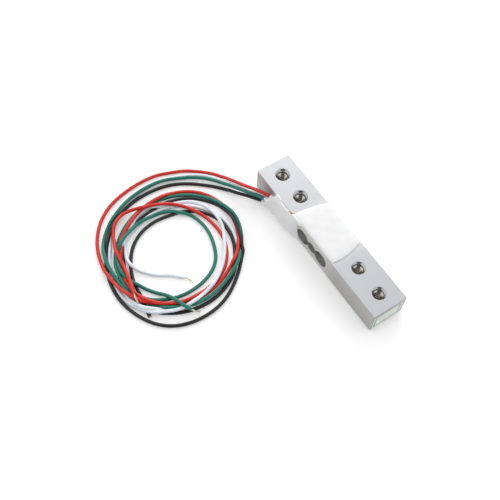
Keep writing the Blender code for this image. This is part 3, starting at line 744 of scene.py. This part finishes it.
# The strip's ends, from its lower edge up
STRIP_END_X = (-25.6 * MM, -20.4 * MM)
STRIP_FEATHER_X = (-6.1 * MM, -7.8 * MM, -8.6 * MM)
STRIP_MARGIN = 0.1 * MM
STRIP_LIP = 0.2 * MM
STRIP_SKIN = 2.3 * MM
STRIP_ROOT_SKIN = 0.9 * MM
# Each bead on the edge: where it starts along the bar, its length, and its least radius
BEADS = ((-11.6 * MM, 5.0 * MM, 0.25 * MM), (-20.8 * MM, 2.8 * MM, 0.1 * MM))
BEAD_SWELL = 0.4 * MM
BEAD_INSET = 0.1 * MM
BEAD_STEPS = 24
# The sleeves round the leads: how far in they start, their length, and how much they widen
SLEEVE_START = 0.7 * MM
SLEEVE_LENGTH = 2.2 * MM
SLEEVE_GAP = 0.02 * MM
SLEEVE_FLARE = 0.4 * MM
SLEEVE_STEPS = 12


def swell(t, flatness):
    """Height of a rounded hump over 0 to 1: 0 at both ends and 1 in the middle, flatter for a higher number."""
    return math.sqrt(max(0.0, 1.0 - abs(2.0 * t - 1.0) ** flatness))


def curve_through(values, t):
    """Parabola over -1 to 1 through values at -1, 0 and 1."""
    start, middle, end = values
    return middle + (end - start) / 2 * t + ((start + end) / 2 - middle) * t * t


def spread_body(body, across, along, back, face):
    """Adds a closed sheet of rubber: its back in the metal and its face over it, for u and v from 0 to 1."""
    backs = []
    faces = []
    for i in range(across + 1):
        spots = [(i / across, j / along) for j in range(along + 1)]
        backs.append([body.verts.new(back(u, v)) for u, v in spots])
        faces.append([body.verts.new(face(u, v)) for u, v in spots])
    for i in range(across):
        for j in range(along):
            corners = ((i, j), (i + 1, j), (i + 1, j + 1), (i, j + 1))
            body.faces.new([faces[a][b] for a, b in corners])
            body.faces.new([backs[a][b] for a, b in reversed(corners)])
    edge = [(i, 0) for i in range(across)]
    edge += [(across, j) for j in range(along)]
    edge += [(i, along) for i in range(across, 0, -1)]
    edge += [(0, j) for j in range(along, 0, -1)]
    for (a, b), (c, d) in zip(edge, edge[1:] + edge[:1]):
        body.faces.new((backs[a][b], backs[c][d], faces[c][d], faces[a][b]))


def flat_coat(body, seat, out, thickness):
    """Coat over the gauges of the top face, out = 1, or of the underside, out = -1."""
    half_width = (BEAM_HIGH.y - BEAM_LOW.y) / 2 - COAT_MARGIN

    def spot(u, v, height):
        t = 2 * eased(v) - 1
        low = curve_through(TOP_FAR_X, t)
        high = curve_through(TOP_NEAR_X, t)
        return Vector((low + (high - low) * eased(u), half_width * t, seat + out * height))

    def face(u, v):
        hump = swell(eased(u), 7) * swell(eased(v), 9)
        return spot(u, v, COAT_LIP + thickness * hump)

    spread_body(body, 80, 50, lambda u, v: spot(u, v, -SKIN_SINK), face)


def side_strip(body):
    """Strip down the side: thick where the leads go in, feathered out at the flexure."""
    low_z = BEAM_LOW.z + STRIP_MARGIN
    high_z = BEAM_TOP - STRIP_MARGIN

    def spot(u, v, depth):
        t = eased(v)
        start = STRIP_END_X[0] + (STRIP_END_X[1] - STRIP_END_X[0]) * t
        end = curve_through(STRIP_FEATHER_X, 2 * t - 1)
        return Vector((start + (end - start) * eased(u), SIDE_FACE - depth, low_z + (high_z - low_z) * t))

    def face(u, v):
        run = eased(u)
        bulge = STRIP_SKIN + STRIP_ROOT_SKIN * (1.0 - run) ** 4
        blunt_end = min(1.0, 0.8 + 4.0 * run)
        feathered_end = (1.0 - run ** 8) * swell(0.5 + 0.5 * run, 10)
        # The rubber has sagged while it cured, so it is half as thick along the top
        lean = 1.0 - 0.5 * eased(v)
        return spot(u, v, STRIP_LIP + bulge * blunt_end * feathered_end * swell(eased(v), 3) * lean)

    spread_body(body, 80, 40, lambda u, v: spot(u, v, -SKIN_SINK), face)


def edge_rolls(body):
    """Beads round the bar's edge: one joins the strip to the coat on top, and one laps over by the leads."""
    for start_x, length, thin in BEADS:
        line = []
        radii = []
        for i in range(BEAD_STEPS + 1):
            t = i / BEAD_STEPS
            line.append(Vector((start_x + length * t, SIDE_FACE + BEAD_INSET, BEAM_TOP - BEAD_INSET)))
            radii.append(thin + BEAD_SWELL * swell(0.1 + 0.88 * t, 3))
        tube_body(body, line, radii, 14)


def lead_sleeves(body):
    """Rubber drawn up round each lead where it goes in."""
    for line in lead_lines.values():
        start, inward = way_in(line)
        points = []
        radii = []
        for i in range(SLEEVE_STEPS + 1):
            t = i / SLEEVE_STEPS
            points.append(start + inward * (SLEEVE_START + SLEEVE_LENGTH * t))
            radii.append(WIRE_RADIUS * MM + SLEEVE_GAP + SLEEVE_FLARE * t ** 1.5)
        tube_body(body, points, radii, 16)


def cure_skin(name, body, finish):
    """Melts overlapping bodies into one smooth skin and gives it the unevenness of a hand-spread layer."""
    skin = add_piece(name, body, finish)
    remesh = skin.modifiers.new("one_skin", "REMESH")
    remesh.mode = "VOXEL"
    remesh.voxel_size = SKIN_VOXEL
    relax = skin.modifiers.new("relaxed", "SMOOTH")
    relax.factor = 0.5
    relax.iterations = 6
    graph = bpy.context.evaluated_depsgraph_get()
    cured = bpy.data.meshes.new_from_object(skin.evaluated_get(graph), depsgraph=graph)
    skin.modifiers.clear()
    skin.data = cured
    spots = np.zeros(len(cured.vertices) * 3)
    cured.vertices.foreach_get("co", spots)
    normals = np.zeros(len(cured.vertices) * 3)
    cured.vertices.foreach_get("normal", normals)
    # Low waves of some 3 to 7 mm, as a spatula leaves them
    x, y, z = spots.reshape(-1, 3).T / MM
    uneven = np.sin(0.9 * x + 0.4 * z) * np.sin(1.1 * y - 0.3 * x + 0.8 * z)
    uneven += 0.5 * np.sin(2.3 * x + 1.7 * y) * np.sin(2.0 * z - 1.3 * x)
    spots = spots.reshape(-1, 3) + normals.reshape(-1, 3) * (SKIN_UNEVEN * uneven)[:, None]
    cured.vertices.foreach_set("co", spots.ravel())
    cured.shade_smooth()
    return skin


def white_silicone():
    """White silicone rubber: soft white with a dull gloss, faintly translucent at thin edges."""
    finish, tree, place = new_finish("white_silicone_rubber")
    smear = add_node(tree, "ShaderNodeTexNoise", {"Vector": place, "Scale": 1 / (3 * MM), "Detail": 3.0})
    skin = add_node(tree, "ShaderNodeTexNoise", {"Vector": place, "Scale": 1 / (0.5 * MM), "Detail": 3.0})
    tone = add_node(
        tree, "ShaderNodeMix",
        {"Factor": smear.outputs["Fac"], "A": srgb("#f7f7f7"), "B": srgb("#efeff1")},
        data_type="RGBA",
    )
    gloss = add_node(tree, "ShaderNodeMapRange", {"Value": smear.outputs["Fac"], "To Min": 0.34, "To Max": 0.5})
    relief = add_node(
        tree, "ShaderNodeBump", {"Height": skin.outputs["Fac"], "Strength": 0.2, "Distance": 0.04 * MM}
    )
    close_finish(tree, add_node(
        tree, "ShaderNodeBsdfPrincipled",
        {
            "Base Color": tone.outputs["Result"], "Roughness": gloss.outputs["Result"], "IOR": 1.41,
            "Subsurface Weight": 0.15, "Subsurface Radius": (0.8 * MM, 0.7 * MM, 0.7 * MM),
            "Subsurface Scale": 1.0, "Normal": relief.outputs[0],
        },
    ))
    return finish


rubber = white_silicone()
skin_body = bmesh.new()
flat_coat(skin_body, BEAM_TOP, 1, TOP_SKIN)
side_strip(skin_body)
edge_rolls(skin_body)
lead_sleeves(skin_body)
silicone_skin = cure_skin("silicone_skin", skin_body, rubber)
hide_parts("top_sealant", "side_sealant")
under_body = bmesh.new()
flat_coat(under_body, BEAM_LOW.z, -1, BOTTOM_SKIN)
under_coat = cure_skin("underside_coat", under_body, rubber)
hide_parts("bottom_sealant")


# Label: a small die-cut piece of coated paper with rounded corners, stuck on the end of the bar. It is blank but
# for a thin line, and reaches nearly to the edges of the end.
LABEL_SEAT = (Vector(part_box("end_label")[0]) + Vector(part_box("end_label")[1])) / 2
# Its corners, from the middle of its seat
LABEL_LOW = Vector((0.0, -5.9 * MM, -3.95 * MM))
LABEL_HIGH = Vector((0.0, 4.9 * MM, 3.95 * MM))
LABEL_CORNER = 0.4 * MM
CORNER_STEPS = 4
LINE_INSET = 0.75 * MM
LINE_WIDTH = 0.4 * MM
LINE_EDGE = 0.03 * MM


def coated_paper():
    """Coated paper label: pale with a green cast, half matt, with a thin plain line round its edge."""
    finish, tree, place = new_finish("coated_paper_label")
    fibre = add_node(tree, "ShaderNodeTexNoise", {"Vector": place, "Scale": 1 / (0.3 * MM), "Detail": 4.0})
    paper = add_node(
        tree, "ShaderNodeMix",
        {"Factor": fibre.outputs["Fac"], "A": srgb("#e2eae3"), "B": srgb("#f0f4ee")},
        data_type="RGBA",
    )
    spot = add_node(tree, "ShaderNodeSeparateXYZ", {0: place})
    past = []
    for axis in (1, 2):
        middle = LABEL_SEAT[axis] + (LABEL_LOW[axis] + LABEL_HIGH[axis]) / 2
        line_at = (LABEL_HIGH[axis] - LABEL_LOW[axis]) / 2 - LINE_INSET
        off_middle = add_node(
            tree, "ShaderNodeMath", {0: spot.outputs[axis], 1: middle}, operation="SUBTRACT"
        )
        apart = add_node(tree, "ShaderNodeMath", {0: off_middle.outputs[0]}, operation="ABSOLUTE")
        past.append(add_node(tree, "ShaderNodeMath", {0: apart.outputs[0], 1: line_at}, operation="SUBTRACT"))
    outside = add_node(
        tree, "ShaderNodeMath", {0: past[0].outputs[0], 1: past[1].outputs[0]}, operation="MAXIMUM"
    )
    off_line = add_node(tree, "ShaderNodeMath", {0: outside.outputs[0]}, operation="ABSOLUTE")
    on_line = add_node(
        tree, "ShaderNodeMapRange",
        {"Value": off_line.outputs[0], "From Min": LINE_WIDTH / 2, "From Max": LINE_WIDTH / 2 - LINE_EDGE},
    )
    tone = add_node(
        tree, "ShaderNodeMix",
        {"Factor": on_line.outputs["Result"], "A": paper.outputs["Result"], "B": srgb("#4d7461")},
        data_type="RGBA",
    )
    relief = add_node(
        tree, "ShaderNodeBump", {"Height": fibre.outputs["Fac"], "Strength": 0.2, "Distance": 0.02 * MM}
    )
    close_finish(tree, add_node(
        tree, "ShaderNodeBsdfPrincipled",
        {"Base Color": tone.outputs["Result"], "Roughness": 0.5, "Normal": relief.outputs[0]},
    ))
    return finish


def label_body():
    """Thin slab with rounded corners, where the label sits."""
    back_x, front_x = (corner[0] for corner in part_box("end_label"))
    outline = []
    for y, z, first in (
        (LABEL_HIGH.y, LABEL_HIGH.z, 0), (LABEL_LOW.y, LABEL_HIGH.z, 90),
        (LABEL_LOW.y, LABEL_LOW.z, 180), (LABEL_HIGH.y, LABEL_LOW.z, 270),
    ):
        inner_y = y - math.copysign(LABEL_CORNER, y)
        inner_z = z - math.copysign(LABEL_CORNER, z)
        for step in range(CORNER_STEPS + 1):
            turn = math.radians(first + 90 / CORNER_STEPS * step)
            outline.append((inner_y + LABEL_CORNER * math.cos(turn), inner_z + LABEL_CORNER * math.sin(turn)))
    body = bmesh.new()
    rings = [
        [body.verts.new((x, LABEL_SEAT.y + y, LABEL_SEAT.z + z)) for y, z in outline] for x in (back_x, front_x)
    ]
    for k in range(len(outline)):
        n = (k + 1) % len(outline)
        body.faces.new((rings[0][k], rings[0][n], rings[1][n], rings[1][k]))
    body.faces.new(rings[0][::-1])
    body.faces.new(rings[1])
    return body


label = add_piece("blank_label", label_body(), coated_paper(), 30)
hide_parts("end_label")


# Table top: a matt white sheet that runs out of view on every side. The load cell stands on it, and it carries
# the soft shadow.
TABLE_HALF = 3.0
SEEN_LIFT = 0.29
MIRRORED_LIFT = 0.22


def white_sheet():
    """White sheet: matt, and white to the eye and in reflections, while it lights the object plainly."""
    finish, tree, _ = new_finish("white_sheet")
    path = add_node(tree, "ShaderNodeLightPath")
    mirrored = add_node(
        tree, "ShaderNodeMath", {0: path.outputs["Is Glossy Ray"], 1: path.outputs["Is Transmission Ray"]},
        operation="MAXIMUM",
    )
    faint = add_node(tree, "ShaderNodeMath", {0: mirrored.outputs[0], 1: MIRRORED_LIFT}, operation="MULTIPLY")
    lift = add_node(
        tree, "ShaderNodeMath",
        {0: path.outputs["Is Camera Ray"], 1: SEEN_LIFT, 2: faint.outputs[0]}, operation="MULTIPLY_ADD",
    )
    matt = add_node(tree, "ShaderNodeBsdfDiffuse", {"Color": srgb("#eeeeee")})
    glow = add_node(tree, "ShaderNodeEmission", {"Strength": lift.outputs[0]})
    close_finish(tree, add_node(tree, "ShaderNodeAddShader", {0: matt.outputs[0], 1: glow.outputs[0]}))
    return finish


floor_body = bmesh.new()
bmesh.ops.create_grid(floor_body, x_segments=2, y_segments=2, size=TABLE_HALF)
floor_mesh = bpy.data.meshes.new("table_top")
floor_body.to_mesh(floor_mesh)
floor_body.free()
floor_mesh.materials.append(white_sheet())
floor = bpy.data.objects.new("table_top", floor_mesh)
bpy.context.scene.collection.objects.link(floor)


# Light: a white surround that is brighter overhead, with a dark patch high on the camera's side, which shows in
# the holes, and one broad soft lamp behind the fixed end of the bar.
SURROUND_STRENGTH = 1.06
DIM_STRENGTH = 0.12
DIM_SIDE = (0.55, -0.38, 0.74)
# The patch starts where a direction's product with the one above passes the first, and is full from the second
DIM_EDGE = 0.76
DIM_FULL = 0.93
HORIZON_SHARE = 0.80
OVERHEAD_SHARE = 1.12
LAMP_PLACE = Vector((-0.55, 0.42, 0.40))
LAMP_SIZE = 0.45
LAMP_POWER = 1.8

surround = bpy.data.worlds.new("white_surround")
surround.use_nodes = True
surround.node_tree.nodes.clear()
sky_place = add_node(surround.node_tree, "ShaderNodeTexCoord")
to_dim_side = add_node(
    surround.node_tree, "ShaderNodeVectorMath", {0: sky_place.outputs["Generated"], 1: DIM_SIDE},
    operation="DOT_PRODUCT",
)
room = add_node(
    surround.node_tree, "ShaderNodeMapRange",
    {
        "Value": to_dim_side.outputs["Value"], "From Min": DIM_EDGE, "From Max": DIM_FULL,
        "To Min": SURROUND_STRENGTH, "To Max": DIM_STRENGTH,
    },
)
sky_parts = add_node(surround.node_tree, "ShaderNodeSeparateXYZ", {0: sky_place.outputs["Generated"]})
overhead = add_node(
    surround.node_tree, "ShaderNodeMapRange",
    {"Value": sky_parts.outputs[2], "To Min": HORIZON_SHARE, "To Max": OVERHEAD_SHARE},
)
lit = add_node(
    surround.node_tree, "ShaderNodeMath", {0: room.outputs["Result"], 1: overhead.outputs["Result"]},
    operation="MULTIPLY",
)
sky_path = add_node(surround.node_tree, "ShaderNodeLightPath")
sky_level = add_node(
    surround.node_tree, "ShaderNodeMapRange",
    {"Value": sky_path.outputs["Is Camera Ray"], "To Min": lit.outputs[0], "To Max": 1.0},
)
sky = add_node(
    surround.node_tree, "ShaderNodeBackground",
    {"Color": srgb("#ffffff"), "Strength": sky_level.outputs["Result"]},
)
add_node(surround.node_tree, "ShaderNodeOutputWorld", {"Surface": sky.outputs[0]})
bpy.context.scene.world = surround

lamp_data = bpy.data.lights.new("soft_lamp", "AREA")
lamp_data.shape = "SQUARE"
lamp_data.size = LAMP_SIZE
lamp_data.energy = LAMP_POWER
lamp = bpy.data.objects.new("soft_lamp", lamp_data)
lamp.location = LAMP_PLACE
lamp.rotation_euler = (-LAMP_PLACE).to_track_quat("-Z", "Y").to_euler()
bpy.context.scene.collection.objects.link(lamp)


# Camera: where the photograph was taken from, high over the near end of the bar and rolled a little. Its place
# and its three directions were fitted to the bar's corners and holes.
CAMERA_PLACE = Vector(SIGHT_FROM) * MM
CAMERA_RIGHT = Vector((0.548, 0.8361, 0.0264))
CAMERA_DOWN = Vector((0.7378, -0.4683, -0.4862))
CAMERA_AHEAD = Vector((-0.3941, 0.2859, -0.8734))
CAMERA_LENS = 51.12
SENSOR_WIDTH = 36.0

camera_data = bpy.data.cameras.new("camera")
camera_data.lens = CAMERA_LENS
camera_data.sensor_width = SENSOR_WIDTH
camera_data.clip_start = 0.01
camera_data.clip_end = 10.0
camera = bpy.data.objects.new("camera", camera_data)
turned = Matrix((CAMERA_RIGHT, -CAMERA_DOWN, -CAMERA_AHEAD)).transposed().to_4x4()
camera.matrix_world = Matrix.Translation(CAMERA_PLACE) @ turned
bpy.context.scene.collection.objects.link(camera)
bpy.context.scene.camera = camera
bpy.context.scene.view_settings.view_transform = "Standard"
